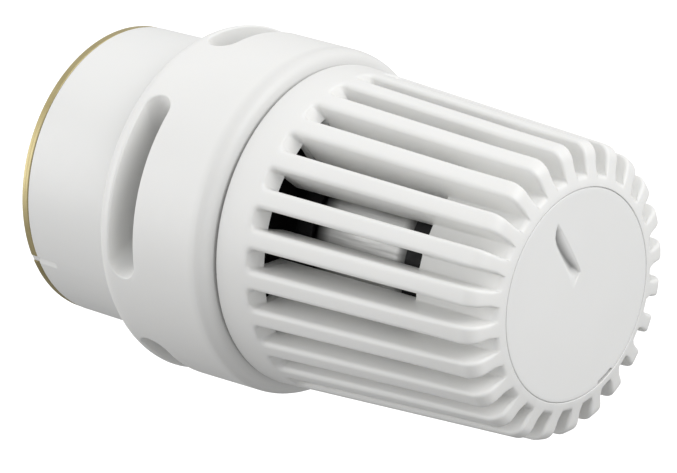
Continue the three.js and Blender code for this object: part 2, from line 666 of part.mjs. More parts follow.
addPiece(fixedBase, 'stop_pin_low',
  bar(STOP_PIN.rear, STOP_PIN.front, STOP_PIN.r, STOP_PIN.pitchR, lowA, PIN_FACETS), plastic(BLACK, 0.5));
addPiece(fixedBase, 'stop_pin_high',
  bar(STOP_PIN.rear, STOP_PIN.front, STOP_PIN.r, STOP_PIN.pitchR, highA, PIN_FACETS), plastic(BLACK, 0.5));

const coupling = addGroup('coupling');
addPiece(coupling, 'coupling_nut', couplingNut(), metal(BRASS, 0.35));
addPiece(coupling, 'nut_cover', nutCover(), plastic(WHITE, 0.4));
addPiece(coupling, 'cover_clip', splitRing(COVER_CLIP, 0, INNER_FACETS), metal(STEEL, 0.35));

const wheel = addGroup('wheel');
addPiece(wheel, 'handwheel', handwheel(), plastic(WHITE, 0.4));
addPiece(wheel, 'end_cap', endCap(), plastic(WHITE, 0.38));
addPiece(wheel, 'drive_nut', driveNut(), plastic(BLACK, 0.5));
addPiece(wheel, 'drive_clip', splitRing(DRIVE_CLIP, 180, INNER_FACETS), metal(STEEL, 0.35));

const carrier = addGroup('carrier');
addPiece(carrier, 'sensor_carrier', sensorCarrier(), plastic(BLACK, 0.5));
addPiece(carrier, 'sensor_retainer', sensorRetainer(), plastic(BLACK, 0.5));
addPiece(carrier, 'sensor_can', sensorCan(), metal('#c9cbcc', 0.3));
addPiece(carrier, 'sensor_plate', sensorPlate(), metal(STEEL, 0.35));
addPiece(carrier, 'sensor_guide_bush', guideBush(), metal(BRASS, 0.35));
addPiece(carrier, 'sensor_bellows', sensorBellows(), metal('#c0a878', 0.3));
addPiece(carrier, 'safety_spring', safetySpring(), metal(STEEL, 0.3));
addPiece(carrier, 'spring_cup', springCup(), plastic('#d8d8d4', 0.5));

const plunger = addGroup('plunger');
addPiece(plunger, 'pressure_pin', pressurePin(), plastic('#d9d4c2', 0.45));
addPiece(plunger, 'tappet_button', tappetButton(), metal(STEEL, 0.3));
addPiece(plunger, 'sensor_piston', sensorPiston(), metal(STEEL, 0.2));

export default head;
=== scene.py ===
"""Looks for the thermostatic radiator valve head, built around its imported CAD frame.

Sizes are millimetres along and about the head's axis: x runs from the coupling to the nose, r is the
distance from the axis, and a is the angle in degrees about it, from +Z towards -Y.
"""

import json
import math

import bmesh
import bpy
from mathutils import Matrix, Vector


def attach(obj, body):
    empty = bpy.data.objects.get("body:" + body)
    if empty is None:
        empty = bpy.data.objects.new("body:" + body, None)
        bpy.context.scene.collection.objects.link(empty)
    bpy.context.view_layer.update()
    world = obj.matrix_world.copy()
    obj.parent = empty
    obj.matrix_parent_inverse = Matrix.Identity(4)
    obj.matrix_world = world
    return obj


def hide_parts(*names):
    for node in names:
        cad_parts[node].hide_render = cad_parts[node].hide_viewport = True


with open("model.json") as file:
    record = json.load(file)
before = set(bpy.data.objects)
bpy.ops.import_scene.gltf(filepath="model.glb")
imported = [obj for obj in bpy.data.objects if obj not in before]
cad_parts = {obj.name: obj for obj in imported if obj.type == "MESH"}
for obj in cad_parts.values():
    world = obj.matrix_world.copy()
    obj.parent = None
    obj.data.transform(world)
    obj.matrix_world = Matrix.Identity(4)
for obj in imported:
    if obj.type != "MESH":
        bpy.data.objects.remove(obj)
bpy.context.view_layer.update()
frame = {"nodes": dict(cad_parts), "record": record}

MM = 0.001


# ---------------------------------------------------------------- geometry helpers


def place(x, r, a):
    """The point at station x, radius r and angle a, in metres."""
    turn = math.radians(a)
    return Vector((x, -r * math.sin(turn), r * math.cos(turn))) * MM


def mix(low, high, part):
    return low + (high - low) * part


def even(low, high, count):
    """count + 1 values from low to high."""
    return [mix(low, high, i / count) for i in range(count + 1)]


def round_angles(count):
    return even(0, 360, count)


def rounded(outline, closed=True, steps=4):
    """Rounds the corners of an outline of (x, r) or (x, r, corner radius) points."""
    points = []
    for i, corner in enumerate(outline):
        here = Vector(corner[:2])
        radius = corner[2] if len(corner) > 2 else 0
        if not radius or (not closed and i in (0, len(outline) - 1)):
            points.append(tuple(here))
            continue
        back = (Vector(outline[i - 1][:2]) - here).normalized()
        ahead = (Vector(outline[(i + 1) % len(outline)][:2]) - here).normalized()
        half = back.angle(ahead) / 2
        centre = here + (back + ahead).normalized() * (radius / math.sin(half))
        reach = radius / math.tan(half)
        start = here + back * reach - centre
        end = here + ahead * reach - centre
        sweep = start.angle_signed(end)
        for j in range(steps + 1):
            points.append(tuple(centre + Matrix.Rotation(-sweep * j / steps, 2) @ start))
    return points


class Skin:
    """A mesh put together from faces whose corners are (x, r, a).

    Corners whose places round to the same 0.0001 mm become one vertex. In the handwheel a few corners
    that meet round apart and stay two, which leaves short seams of no width.
    """

    def __init__(self):
        self.index = {}
        self.points = []
        self.faces = []

    def vertex(self, point):
        key = tuple(round(value * 1e7) for value in point)
        if key not in self.index:
            self.index[key] = len(self.points)
            self.points.append(point)
        return self.index[key]

    def face(self, *corners):
        numbers = []
        for corner in corners:
            number = self.vertex(place(*corner))
            if number not in numbers:
                numbers.append(number)
        if len(numbers) > 2:
            self.faces.append(numbers)

    def rows(self, rows):
        """Quads between each row of corners and the next."""
        for row, following in zip(rows, rows[1:]):
            for i in range(len(row) - 1):
                self.face(row[i], row[i + 1], following[i + 1], following[i])

    def turn(self, profile, angles, closed=True):
        """The profile swept through the angles. A closed profile ends where it starts."""
        stations = [*profile, profile[0]] if closed else profile
        self.rows([[(x, r, a) for x, r in stations] for a in angles])

    def piece(self, name, body, node, material, sharp=50):
        """Makes the object, which rides on the body and stands for the CAD node."""
        mesh = bpy.data.meshes.new(name)
        mesh.from_pydata([tuple(point) for point in self.points], [], self.faces)
        work = bmesh.new()
        work.from_mesh(mesh)
        bmesh.ops.recalc_face_normals(work, faces=work.faces)
        work.to_mesh(mesh)
        work.free()
        mesh.shade_smooth()
        mesh.set_sharp_from_angle(angle=math.radians(sharp))
        mesh.materials.append(material)
        obj = bpy.data.objects.new(name, mesh)
        bpy.context.scene.collection.objects.link(obj)
        even_out = obj.modifiers.new("weighted_normals", "WEIGHTED_NORMAL")
        even_out.keep_sharp = True
        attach(obj, body)
        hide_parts(node)


# ---------------------------------------------------------------- materials


class Look:
    """A Principled material with short ways to add noise, gradients and bump."""

    def __init__(self, name, colour, roughness, metallic=0.0):
        self.material = bpy.data.materials.new(name)
        self.material.use_nodes = True
        self.nodes = self.material.node_tree.nodes
        self.links = self.material.node_tree.links
        self.shader = self.nodes["Principled BSDF"]
        self.shader.inputs["Base Color"].default_value = (*colour, 1)
        self.shader.inputs["Roughness"].default_value = roughness
        self.shader.inputs["Metallic"].default_value = metallic
        self.colour = colour
        self.coordinates = self.nodes.new("ShaderNodeTexCoord")

    def noise(self, scale, detail):
        """Noise with features 1/scale metres long; scale may differ along X, Y and Z."""
        mapping = self.nodes.new("ShaderNodeMapping")
        mapping.inputs["Scale"].default_value = scale if isinstance(scale, tuple) else (scale,) * 3
        texture = self.nodes.new("ShaderNodeTexNoise")
        texture.inputs["Scale"].default_value = 1
        texture.inputs["Detail"].default_value = detail
        self.links.new(self.coordinates.outputs["Object"], mapping.inputs["Vector"])
        self.links.new(mapping.outputs["Vector"], texture.inputs["Vector"])
        return texture.outputs["Fac"]

    def ranged(self, value, low, high, from_low=0.3, from_high=0.7):
        """Spreads a value over low to high. Noise lies mostly between 0.3 and 0.7."""
        node = self.nodes.new("ShaderNodeMapRange")
        node.inputs["From Min"].default_value = from_low
        node.inputs["From Max"].default_value = from_high
        node.inputs["To Min"].default_value = low
        node.inputs["To Max"].default_value = high
        self.links.new(value, node.inputs["Value"])
        return node.outputs["Result"]

    def vary_colour(self, value, other):
        """Blends the base colour towards another where the value is high."""
        node = self.nodes.new("ShaderNodeMix")
        node.data_type = "RGBA"
        node.inputs["A"].default_value = (*self.colour, 1)
        node.inputs["B"].default_value = (*other, 1)
        self.links.new(self.ranged(value, 0, 1), node.inputs["Factor"])
        self.links.new(node.outputs["Result"], self.shader.inputs["Base Color"])

    def vary_roughness(self, value, low, high):
        self.links.new(self.ranged(value, low, high), self.shader.inputs["Roughness"])

    def along_axis(self, low, high):
        """0 at station low on the head's axis, in mm, rising to 1 at station high."""
        split = self.nodes.new("ShaderNodeSeparateXYZ")
        self.links.new(self.coordinates.outputs["Object"], split.inputs["Vector"])
        return self.ranged(split.outputs["X"], 0, 1, low * MM, high * MM)

    def within(self, outer, inner):
        """0 at the distance outer from the head's axis, rising to 1 at the distance inner."""
        flatten = self.nodes.new("ShaderNodeVectorMath")
        flatten.operation = "MULTIPLY"
        flatten.inputs[1].default_value = (0, 1, 1)
        length = self.nodes.new("ShaderNodeVectorMath")
        length.operation = "LENGTH"
        self.links.new(self.coordinates.outputs["Object"], flatten.inputs[0])
        self.links.new(flatten.outputs["Vector"], length.inputs[0])
        return self.ranged(length.outputs["Value"], 0, 1, outer * MM, inner * MM)

    def below_dome(self, crown, radius, low, high):
        """0 at depth low under a dome whose crown is on the head's axis, rising to 1 at depth high."""
        node = self.nodes.new("ShaderNodeVectorMath")
        node.operation = "DISTANCE"
        node.inputs[1].default_value = ((crown - radius) * MM, 0, 0)
        self.links.new(self.coordinates.outputs["Object"], node.inputs[0])
        return self.ranged(node.outputs["Value"], 0, 1, (radius - low) * MM, (radius - high) * MM)

    def darken(self, value, shade):
        """Multiplies the base colour by 1 where the value is 0, and by shade where it is 1."""
        source = self.shader.inputs["Base Color"].links[0].from_socket
        node = self.nodes.new("ShaderNodeMix")
        node.data_type = "RGBA"
        node.blend_type = "MULTIPLY"
        node.inputs["B"].default_value = (shade, shade, shade, 1)
        self.links.new(source, node.inputs["A"])
        self.links.new(value, node.inputs["Factor"])
        self.links.new(node.outputs["Result"], self.shader.inputs["Base Color"])

    def bump(self, *layers):
        """Stacks bumps, each a (value, height in mm, strength)."""
        normal = None
        for value, height, strength in layers:
            node = self.nodes.new("ShaderNodeBump")
            node.inputs["Distance"].default_value = height * MM
            node.inputs["Strength"].default_value = strength
            self.links.new(value, node.inputs["Height"])
            if normal:
                self.links.new(normal, node.inputs["Normal"])
            normal = node.outputs["Normal"]
        self.links.new(normal, self.shader.inputs["Normal"])


# Where the painted shade starts and is full, in mm, and what it multiplies the colour by there. On the
# can it is painted reflection as well.
FRONT_EDGE_SHADE = {"start": 34.4, "full": 35.8, "shade": 0.91}
# Painted shade that deepens down into the base's slots.
SLOT_SHADE = {"start_r": 23.9, "full_r": 19.5, "shade": 0.72}
# Painted shade and painted reflection of the black holder at both ends of the can.
CAN_END_SHADE = {"rear": (50.2, 47.8), "front": (61.8, 64.2), "shade": 0.06}
# The painted shade starts at a depth under the sphere that the cap's dome follows.
POINTER_SHADE = {"crown": 83.25, "dome_r": 272.3, "start": 0.14, "full": 0.6, "shade": 0.36}


def white_plastic(name, colour, roughness):
    """The look of white moulded plastic, which each piece below sets up in its own way; the base and the
    cap add painted shade to it.
    """
    look = Look(name, colour, roughness)
    look.shader.inputs["Subsurface Weight"].default_value = 0.12
    look.shader.inputs["Subsurface Radius"].default_value = (0.0015, 0.0014, 0.0012)
    look.shader.inputs["Subsurface Scale"].default_value = 1
    look.vary_colour(look.noise(55, 2), tuple(0.975 * value for value in colour))
    look.vary_roughness(look.noise(900, 4), roughness - 0.05, roughness + 0.06)
    look.bump((look.noise(140, 2), 0.02, 0.25), (look.noise(5200, 3), 0.004, 0.3))
    return look


def base_plastic():
    """White plastic with painted shade on the band at the base's front edge and down in the slots."""
    look = white_plastic("white_plastic_base", WHITE, 0.42)
    # Painted shade on the band at the base's rounded front edge.
    look.darken(look.along_axis(FRONT_EDGE_SHADE["start"], FRONT_EDGE_SHADE["full"]), FRONT_EDGE_SHADE["shade"])
    # Painted shade that deepens towards the axis, down in the slots.
    look.darken(look.within(SLOT_SHADE["start_r"], SLOT_SHADE["full_r"]), SLOT_SHADE["shade"])
    return look.material


def cap_plastic():
    """White plastic with painted shade in the sunk pointer, darker the deeper it lies."""
    look = white_plastic("white_plastic_cap", (0.855, 0.857, 0.846), 0.36)
    crown, dome_r = POINTER_SHADE["crown"], POINTER_SHADE["dome_r"]
    # Painted shade that grows with depth in the sunk pointer.
    sunk_shade = look.below_dome(crown, dome_r, POINTER_SHADE["start"], POINTER_SHADE["full"])
    look.darken(sunk_shade, POINTER_SHADE["shade"])
    return look.material


def black_plastic():
    look = Look("black_plastic", (0.006, 0.006, 0.0065), 0.5)
    look.shader.inputs["Specular IOR Level"].default_value = 0.22
    look.vary_colour(look.noise(120, 3), (0.012, 0.012, 0.013))
    look.vary_roughness(look.noise(1200, 4), 0.42, 0.6)
    look.bump((look.noise(4200, 3), 0.006, 0.35))
    return look.material


def natural_plastic(colour):
    look = Look("natural_plastic", colour, 0.42)
    look.shader.inputs["Subsurface Weight"].default_value = 0.08
    look.shader.inputs["Subsurface Radius"].default_value = (0.001, 0.001, 0.001)
    look.vary_colour(look.noise(160, 3), tuple(0.86 * value for value in colour))
    look.vary_roughness(look.noise(1400, 3), 0.36, 0.5)
    look.bump((look.noise(4800, 3), 0.004, 0.3))
    return look.material


def turned_metal(name, colour, dull, roughness, marks=9000):
    """Metal with fine marks running round the head's axis, and a duller layer in patches."""
    look = Look(name, colour, roughness, 1.0)
    rings = look.noise((marks, 60, 60), 2)
    look.vary_colour(look.noise(210, 4), dull)
    look.vary_roughness(rings, roughness - 0.08, roughness + 0.14)
    look.bump((rings, 0.008, 0.35), (look.noise(1500, 3), 0.004, 0.2))
    return look.material


def brushed_can():
    """Satin metal brushed along its length, and painted dark towards both ends as shade and reflection
    of the black holder.
    """
    look = Look("sensor_metal", (0.8, 0.8, 0.79), 0.5, 1.0)
    # The streaks along the can are brushing grain; their darker tone in the colour is also painted
    # reflection of the ribs and the gaps between them.
    grain_and_reflections = look.noise((90, 1500, 1500), 3)
    look.vary_colour(grain_and_reflections, (0.56, 0.56, 0.55))
    # Painted shade and reflection of the black holder near both ends.
    for start, full in (CAN_END_SHADE["rear"], CAN_END_SHADE["front"]):
        look.darken(look.along_axis(start, full), CAN_END_SHADE["shade"])
    look.vary_roughness(look.noise((120, 2500, 2500), 3), 0.42, 0.58)
    look.bump((grain_and_reflections, 0.012, 0.25), (look.noise(1800, 3), 0.004, 0.2))
    return look.material


def rubber():
    look = Look("rubber", (0.012, 0.012, 0.012), 0.75)
    look.vary_colour(look.noise(300, 3), (0.025, 0.024, 0.023))
    look.vary_roughness(look.noise(1600, 3), 0.68, 0.85)
    look.bump((look.noise(3500, 3), 0.01, 0.4))
    return look.material


WHITE = (0.86, 0.86, 0.846)
white_base = base_plastic()
white_wheel = white_plastic("white_plastic_wheel", WHITE, 0.4).material
white_cap = cap_plastic()
white_sleeve = white_plastic("white_plastic_sleeve", (0.85, 0.852, 0.84), 0.4).material
black = black_plastic()
natural = natural_plastic((0.72, 0.68, 0.56))
plated = turned_metal("plated_steel", (0.62, 0.63, 0.64), (0.5, 0.5, 0.5), 0.34)
spring_steel = turned_metal("spring_steel", (0.5, 0.51, 0.53), (0.36, 0.36, 0.37), 0.32, 5000)
sensor_metal = brushed_can()
brass = turned_metal("brass", (0.58, 0.5, 0.28), (0.46, 0.39, 0.2), 0.48)
rubber_black = rubber()


# ---------------------------------------------------------------- coupling nut and sleeve

THREAD = {"pitch": 1.5, "crest": 14.19, "root": 15.0, "rear": 0.9, "front": 9.3, "run_out": 0.8}
NUT = {
    "rear": -0.42, "mouth_r": 15.8, "rim_front": 0.7, "rim_r": 20.5, "r": 17.5, "front": 15.0,
    "shoulder": 12.2, "neck_r": 12.3,
    "groove_rear": 13.1, "groove_front": 14.1, "groove_r": 16.9,
}
SLEEVE = {
    "rear": 0.8, "front": 18.2, "rear_r": 20.56, "front_r": 20.85, "bore_r": 17.65,
    "step": 13.0, "step_r": 18.65, "mouth": 14.2, "mouth_r": 19.3,
}
# The narrow notch across the sleeve's rear edge and the nut's rim. Its walls and its front end slope
# by a little, and the sleeve's key fills it in the rim.
NOTCH = {
    "a": 115.0, "half": 1.46, "ease": 0.07, "front": 4.3, "front_ease": 0.04,
    "sleeve_r": 20.15, "rim_r": 19.85,
}
KEY = {"rear": -0.4, "low_r": 19.87, "high_r": 20.35, "corner": 0.04, "middle": 0.2, "middle_r": 20.1}


def thread_radius(x, a):
    """Radius of the female thread at station x and angle a.

    Its crests are 3/8 of the pitch wide and its roots 1/8, with straight flanks between them.
    """
    turn = ((x - THREAD["rear"]) / THREAD["pitch"] - a / 360) % 1
    height = min(max(1.75 - 4 * abs(turn - 0.5), 0.0), 1.0)
    ends = min(x - THREAD["rear"], THREAD["front"] - x) / THREAD["run_out"]
    return mix(THREAD["root"], THREAD["crest"], height * min(max(ends, 0.0), 1.0))


def coupling_nut():
    """The brass union nut, threaded inside."""
    skin = Skin()
    angles = notch_angles(144)
    stations = even(THREAD["rear"], THREAD["front"], 90)
    skin.rows([[(x, thread_radius(x, a), a) for x in stations] for a in angles])
    rest = rounded([
        (THREAD["front"], THREAD["root"]),
        (NUT["shoulder"], THREAD["root"], 0.2),
        (NUT["shoulder"], NUT["neck_r"], 0.2),
        (NUT["front"], NUT["neck_r"], 0.25),
        (NUT["front"], NUT["r"], 0.4),
        (NUT["groove_front"], NUT["r"]),
        (NUT["groove_front"], NUT["groove_r"]),
        (NUT["groove_rear"], NUT["groove_r"]),
        (NUT["groove_rear"], NUT["r"]),
        (NUT["rim_front"], NUT["r"], 0.15),
        (NUT["rim_front"], NUT["rim_r"], 0.15),
        (NUT["rear"], NUT["rim_r"], 0.2),
        (NUT["rear"], NUT["mouth_r"], 0.12),
        (THREAD["rear"], THREAD["root"]),
    ], closed=False)
    skin.rows([notched(rest, a, NUT["front"], NOTCH["rim_r"]) for a in angles])
    skin.piece("union_nut", "coupling", "coupling_nut", brass, sharp=35)


def notch_angles(count):
    """Angles all round, with close pairs at the notch's two walls."""
    walls = [NOTCH["a"] + side * (NOTCH["half"] + ease)
             for side in (-1, 1) for ease in (-NOTCH["ease"], NOTCH["ease"])]
    clear = NOTCH["half"] + 0.5
    return sorted({*walls, *[a for a in round_angles(count) if abs(a - NOTCH["a"]) > clear]})


def notched(profile, a, front, floor_r):
    """The profile at angle a, cut down to floor_r inside the notch, up to the station front."""
    inside = abs(a - NOTCH["a"]) < NOTCH["half"]
    return [(x, min(r, floor_r) if inside and x < front else r, a) for x, r in profile]


def notch_floor(a):
    """Radius of the notch's floor in the sleeve, which rises towards +a."""
    part = (a - NOTCH["a"]) / NOTCH["half"] / 2 + 0.5
    return mix(NOTCH["sleeve_r"], SLEEVE["rear_r"], part)


def notch_key(skin):
    """The sleeve's small block that fills the notch in the nut's rim."""
    corners = [
        (KEY["rear"], KEY["low_r"]), (SLEEVE["rear"], KEY["low_r"]),
        (SLEEVE["rear"], KEY["high_r"]), (KEY["rear"], KEY["high_r"]),
    ]
    section = rounded([(x, r, KEY["corner"]) for x, r in corners])
    half = NOTCH["half"] - 2 * NOTCH["ease"]
    ends = [NOTCH["a"] - half, NOTCH["a"] + half]
    caps = [[(KEY["middle"], KEY["middle_r"], a)] * (len(section) + 1) for a in ends]
    sides = [[(x, r, a) for x, r in [*section, section[0]]] for a in ends]
    skin.rows([caps[0], *sides, caps[1]])


def nut_sleeve():
    """The smooth sleeve over the nut, with its notch and key."""
    taper = (SLEEVE["front_r"] - SLEEVE["rear_r"]) / (SLEEVE["front"] - SLEEVE["rear"])
    notch_end = [NOTCH["front"] - NOTCH["front_ease"], NOTCH["front"] + NOTCH["front_ease"]]
    profile = rounded([
        (SLEEVE["rear"], SLEEVE["bore_r"]),
        (SLEEVE["rear"], SLEEVE["rear_r"], 0.2),
        *[(x, SLEEVE["rear_r"] + taper * (x - SLEEVE["rear"])) for x in notch_end],
        (SLEEVE["front"], SLEEVE["front_r"], 0.4),
        (SLEEVE["front"], SLEEVE["mouth_r"]),
        (SLEEVE["mouth"], SLEEVE["step_r"]),
        (SLEEVE["step"], SLEEVE["step_r"]),
        (SLEEVE["step"], SLEEVE["bore_r"]),
    ])
    profile.append(profile[0])
    skin = Skin()
    skin.rows([notched(profile, a, NOTCH["front"], notch_floor(a)) for a in notch_angles(160)])
    notch_key(skin)
    skin.piece("nut_sleeve", "coupling", "nut_cover", white_sleeve)


coupling_nut()
nut_sleeve()


# ---------------------------------------------------------------- fixed base

FLARE = {
    "rear": 16.55, "length": 3.3, "rim": 22.35, "r": 24.5, "curve": 2.3, "lip": 16.56, "start": 16.75,
}
BASE = {
    "rear": 16.45, "rear_r": 22.2, "sleeve_r": 21.25, "sleeve_end": 18.9, "bore": 12.1,
    "boss_r": 14.6, "boss_front": 33, "wall": 26.2, "cage_r": 21.3,
    "front": 37.45, "front_r": 22.45, "side": 30, "corner": 36.72,
}
# The slots' sizes. Their outline lies in a patch of the outer surface, whose edges are at patch_rear
# and patch_front, and a slot's floor is foot times as long as its mouth.
SLOT = {
    "count": 4, "centre": 70.5, "span": 63.0, "rear": 19.75, "front": 24.3, "floor": 18.6,
    "lip": 0.3, "front_lip": 0.14, "floor_ease": 0.3, "foot": 0.8,
    "patch_rear": 18.5, "patch_front": 25.6,
}


def base_radius(x):
    """Outer radius of the base at station x, from its flared rear to its plain side."""
    part = min(1.0, max(0.0, (x - FLARE["rear"]) / FLARE["length"]))
    return mix(FLARE["rim"], FLARE["r"], 1 - (1 - part) ** FLARE["curve"])


def slot_path():
    """Half of a slot's outline, from its +a tip to its -a tip along the side towards the nose.

    Each entry is (x, a, way out along x, way out along a, x and a of the matching patch edge point).
    """
    half_width = (SLOT["front"] - SLOT["rear"]) / 2
    middle = (SLOT["front"] + SLOT["rear"]) / 2
    degree = math.degrees(1 / FLARE["r"])
    straight = SLOT["span"] / 2 - half_width * degree
    corner = 360 / SLOT["count"] / 2
    edge = SLOT["patch_front"] - middle
    steps = 8
    to_corner = 3
    path = []
    for i in range(steps):
        turn = math.pi / 2 * i / steps
        if i < to_corner:
            target = (middle + edge * i / to_corner, corner)
        else:
            part = (i - to_corner) / (steps - to_corner)
            target = (SLOT["patch_front"], mix(corner, straight, part))
        x = middle + half_width * math.sin(turn)
        a = straight + half_width * math.cos(turn) * degree
        path.append((x, a, math.sin(turn), math.cos(turn), *target))
    for a in even(straight, -straight, 24):
        path.append((middle + half_width, a, 1, 0, SLOT["patch_front"], a))
    mirrored = [(x, -a, out_x, -out_a, tx, -ta) for x, a, out_x, out_a, tx, ta in path[:steps]]
    return path + mirrored[::-1]


def slot_half(side):
    """Rows of corners over one side of the slot: from the patch's edge, over the lip, to the floor.

    side is 1 towards the nose, -1 towards the coupling.
    """
    middle = (SLOT["front"] + SLOT["rear"]) / 2
    reach = {1: SLOT["patch_front"] - middle, -1: middle - SLOT["patch_rear"]}[side]
    full = SLOT["patch_front"] - middle
    rows = []
    for x, a, out_x, out_a, tx, ta in slot_path():
        lip = mix(SLOT["lip"], SLOT["front_lip"], out_x) if side > 0 else SLOT["lip"]
        x = middle + side * (x - middle)
        tx = middle + side * (tx - middle) * reach / full
        row = []
        for part in (0, 0.2, 0.4, 0.6, 0.8, 1):
            here_x = mix(tx, x + side * out_x * lip, part)
            here_a = mix(ta, a + out_a * math.degrees(lip / FLARE["r"]), part)
            row.append((here_x, base_radius(here_x), here_a))
        for turn in even(0, math.pi / 2, 5)[1:]:
            off = lip * (1 - math.sin(turn))
            here_x = x + side * out_x * off
            skin_r = base_radius(x + side * out_x * lip)
            here_a = a + out_a * math.degrees(off / FLARE["r"])
            row.append((here_x, skin_r - lip * (1 - math.cos(turn)), here_a))
        foot_a = SLOT["foot"] * a
        row.append((x, mix(SLOT["floor"], FLARE["r"], 0.5), mix(a, foot_a, 0.5)))
        ease = SLOT["floor_ease"]
        row.append((x, SLOT["floor"] + ease, foot_a))
        floor_a = foot_a - out_a * math.degrees(ease / FLARE["r"])
        row.append((x - side * out_x * ease, SLOT["floor"], floor_a))
        row.append((middle, SLOT["floor"], floor_a))
        rows.append(row)
    return rows


def base_shell():
    """The fixed base: the patches with the slots, and the rest of its section turned between them."""
    skin = Skin()
    front_rest = rounded([
        (SLOT["patch_front"], FLARE["r"]),
        (BASE["side"], FLARE["r"]),
        (BASE["corner"], FLARE["r"], 1.9),
        (BASE["front"], BASE["front_r"], 0.2),
        (BASE["front"], BASE["cage_r"], 0.15),
        (BASE["wall"], BASE["cage_r"], 0.4),
        (BASE["wall"], BASE["boss_r"], 0.4),
        (BASE["boss_front"], BASE["boss_r"], 0.3),
        (BASE["boss_front"], BASE["bore"], 0.2),
        (BASE["sleeve_end"], BASE["bore"], 0.2),
        (BASE["sleeve_end"], BASE["sleeve_r"], 0.3),
        (BASE["rear"], BASE["sleeve_r"], 0.12),
        (BASE["rear"], BASE["rear_r"], 0.12),
        (FLARE["lip"], FLARE["rim"]),
    ], closed=False, steps=6)
    flare = [(x, base_radius(x)) for x in even(FLARE["start"], SLOT["patch_rear"], 9)]
    centres = [SLOT["centre"] + 360 * i / SLOT["count"] for i in range(SLOT["count"])]
    for centre in centres:
        for side in (1, -1):
            skin.rows([[(x, r, a + centre) for x, r, a in row] for row in slot_half(side)])
        edge_angles = sorted({round(a, 6) for *_, tx, a in slot_path() if tx == SLOT["patch_front"]})
        skin.turn(front_rest + flare, [a + centre for a in edge_angles], closed=False)
    skin.piece("base_housing", "fixed_base", "base_shell", white_base)


base_shell()


# ---------------------------------------------------------------- handwheel

# The ribs and the grooves between them. half is half a groove's angle, and the edges are the radii of
# the ribs' rounded edges, which narrow over the last stretch, from the station narrow_from on.
RIBS = {
    "count": 24, "first": 2.75, "half": 3.75, "corner": 0.9, "corner_shift": 1.3,
    "edge": 0.72, "rear_edge": 0.35, "nose_edge": 0.5, "narrow_from": 72, "narrow_over": 8,
    "groove_rear": 43.3, "ramp_front": 44.4, "wall_rear": 44.9, "window_front": 68.5,
}
WHEEL = {
    "rear": 37.9, "rear_r": 22.62, "join": 42.0, "cage_r": 19.1, "cage_front": 40.3, "ring_bore": 19.9,
    "cup": 16.4, "fin": 15.4, "fin_rear": 43.3, "mouth": 14.88,
}
HUB = {"rear": 72, "front": 73.2, "bore": 9.5}
CAP_SEAT = {"r": 14, "front": 80.6, "groove_rear": 78.45, "groove_front": 79.45, "groove_r": 14.6}
LUG = {"rear": 42.3, "front": 43.6, "low_r": 15.4, "high_r": 20.2, "from": 241.7, "to": 249.7}
CELL = 360 / RIBS["count"] / 2
NOSE_CONE = ((81.35, 20.58), (82.88, 14.85))
# The outline of the ribs' crests, from the wheel's rear edge to the cap.
RIB_SKIN = rounded([(WHEEL["rear"], 22.63), (*NOSE_CONE[0], 2.4), NOSE_CONE[1]], closed=False, steps=9)


def along_outline(outline, x):
    """Radius of an outline at station x."""
    for (x0, r0), (x1, r1) in zip(outline, outline[1:]):
        if x0 <= x <= x1:
            return mix(r0, r1, (x - x0) / (x1 - x0) if x1 > x0 else 0)
    return outline[-1][1]


def on_cone(r):
    """The point at radius r on the cone in which the ribs end at the nose."""
    (x0, r0), (x1, r1) = NOSE_CONE
    return (mix(x0, x1, (r - r0) / (r1 - r0)), r)


# The outline of the grooves' floors.
FLOOR_SKIN = rounded(
    [(40, WHEEL["cup"]), (*on_cone(WHEEL["cup"]), 0.8), NOSE_CONE[1]], closed=False, steps=6,
)
NOSE = FLOOR_SKIN[-2]  # where the grooves' floors run out into the ring round the cap


def wheel_radius(x):
    """Radius of the ribs' crests at station x."""
    return along_outline(RIB_SKIN, x)


def wheel_normal(x):
    """Which way the ribs' crests face at station x, as (along x, outwards)."""
    step = 0.02
    fall = wheel_radius(x - step) - wheel_radius(x + step)
    return Vector((fall, 2 * step)).normalized()


def groove_path():
    """Half of a groove's outline, from its rear middle to the nose on the +a side.

    Each entry is (x, a, way out along x, way out along a, x and a of the cell's edge point, foot), where
    foot is the matching point (x, a) at the bottom of the groove's wall.
    """
    rear, corner, half = RIBS["groove_rear"], RIBS["corner"], RIBS["half"]
    degree = math.degrees(1 / wheel_radius(rear))
    inner = half - corner * degree
    spread = half / (inner + corner * degree * math.sin(math.pi / 4))
    ramp = RIBS["ramp_front"]
    path = [
        (rear, 0, -1, 0, WHEEL["join"], 0, (ramp, 0)),
        (rear, inner / 2, -1, 0, WHEEL["join"], inner, (ramp, inner / 2 * spread)),
    ]
    steps = 6
    to_corner = 3
    for i in range(steps + 1):
        turn = math.pi / 2 * i / steps
        x = rear + corner * (1 - math.cos(turn))
        a = inner + corner * degree * math.sin(turn)
        if i <= to_corner:
            target = (WHEEL["join"], mix(inner + RIBS["corner_shift"], CELL, i / to_corner))
            foot = (ramp, min(half, a * spread))
        else:
            part = (i - to_corner) / (steps - to_corner)
            target = (mix(WHEEL["join"], rear + corner, part), CELL)
            foot = (mix(ramp, RIBS["wall_rear"], part), half)
        path.append((x, a, -math.cos(turn), math.sin(turn), *target, foot))
    stations = {46, 50, 55, 60, 65, RIBS["window_front"], 72, 76, NOSE[0]}
    stations |= {x for x, _ in [*RIB_SKIN, *FLOOR_SKIN] if 79 < x < NOSE[0]}
    path += [(x, half, 0, 1, x, CELL, (x, half)) for x in sorted(stations)]
    return path


